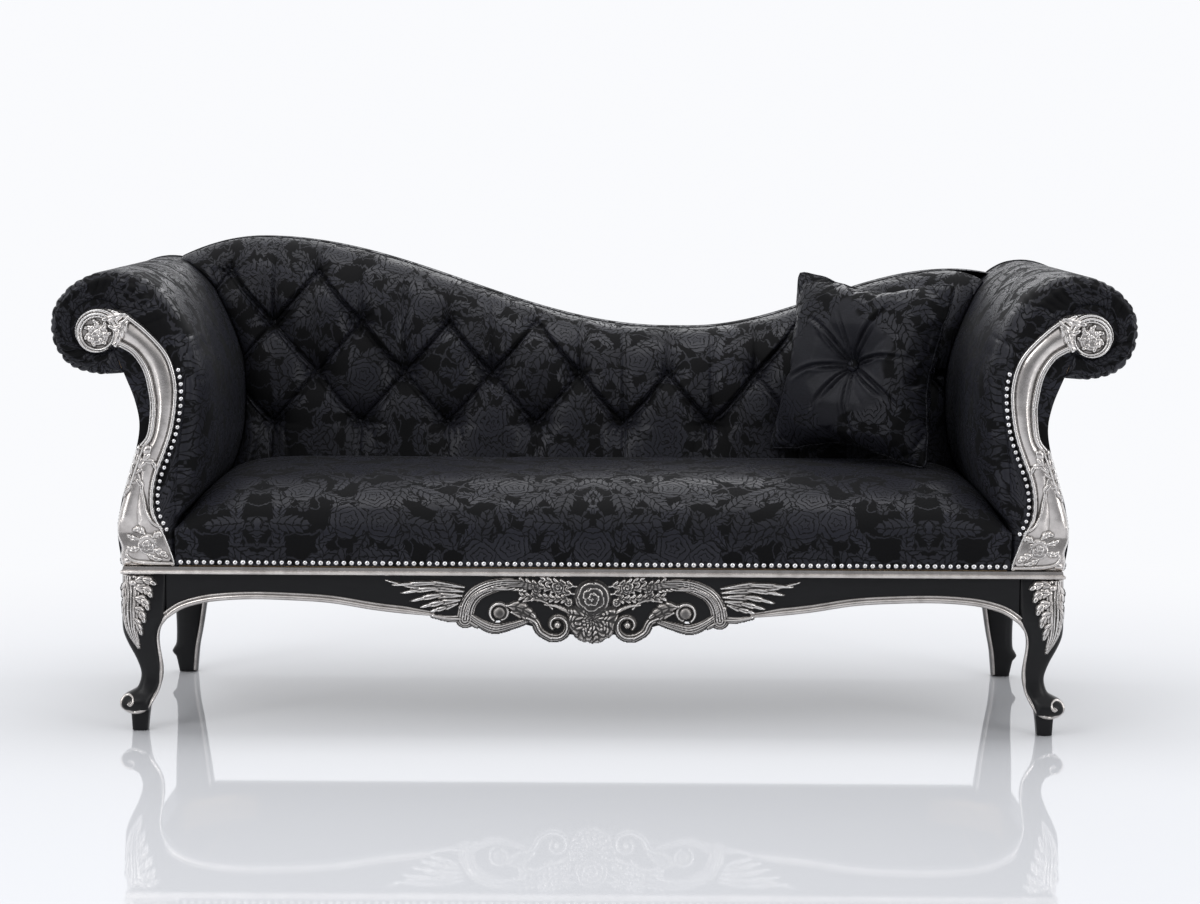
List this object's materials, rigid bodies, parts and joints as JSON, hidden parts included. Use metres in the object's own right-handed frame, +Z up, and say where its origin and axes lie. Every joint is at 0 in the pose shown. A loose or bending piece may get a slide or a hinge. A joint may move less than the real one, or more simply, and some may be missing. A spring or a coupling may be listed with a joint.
{
  "type": "chaise longue",
  "caption": "Baroque chaise longue with scroll arms, a button-tufted back falling in a wave to one end, carved show frame on cabriole legs and a loose buttoned pillow.",
  "frame": {"origin": "on the floor, under the middle of the bounding box", "axes": "+X along the seat to the low end of the back, +Y from the front to the back, +Z up"},
  "size_m": [2, 0.72, 0.901],
  "materials": {
    "black_lacquer": "satin lacquer",
    "silver_leaf": "antique silver leaf with a dark glaze in the hollows",
    "timber": "raw beech",
    "damask": "black damask with blue-grey satin flowers",
    "dust_cloth": "plain black cloth",
    "nickel": "polished nickel",
    "steel": "zinc-plated",
    "jute": "woven jute",
    "foam": "open foam",
    "glide": "matte"
  },
  "bodies": {
    "frame": {"front_apron": "black_lacquer", "rear_rail": "black_lacquer", "left_rail": "black_lacquer", "right_rail": "black_lacquer", "front_left_leg": "black_lacquer", "front_right_leg": "black_lacquer", "rear_left_leg": "black_lacquer", "rear_right_leg": "black_lacquer", "left_knee_carving": "silver_leaf", "right_knee_carving": "silver_leaf", "apron_bead": "silver_leaf", "apron_crest": "silver_leaf", "front_moulding": "silver_leaf", "left_moulding": "silver_leaf", "right_moulding": "silver_leaf", "rear_moulding": "silver_leaf", "foot_glides": "glide", "corner_blocks": "timber", "corner_screws": "steel", "left_arm_facing": "silver_leaf", "right_arm_facing": "silver_leaf", "left_arm_boards": "timber", "right_arm_boards": "timber", "left_arm_rails": "timber", "right_arm_rails": "timber", "left_arm_panel": "damask", "right_arm_panel": "damask", "left_arm_padding": "damask", "right_arm_padding": "damask", "left_facing_nails": "nickel", "right_facing_nails": "nickel", "seat_frame": "timber", "webbing_across": "jute", "webbing_along": "jute", "seat_foam": "foam", "seat_cover": "damask", "seat_nails": "nickel", "dust_cover": "dust_cloth", "back_posts": "timber", "back_top_rail": "timber", "back_bottom_rail": "timber", "back_padding": "damask", "back_buttons": "damask", "back_panel": "damask"},
    "pillow": {"pillow_cover": "damask", "pillow_filling": "foam", "pillow_buttons": "damask"}
  },
  "joints": [
    {"name": "pillow_lift", "type": "slide", "parent": "frame", "child": "pillow", "axis": [0, 0, 1], "range_m": [0, 0.45]}
  ]
}
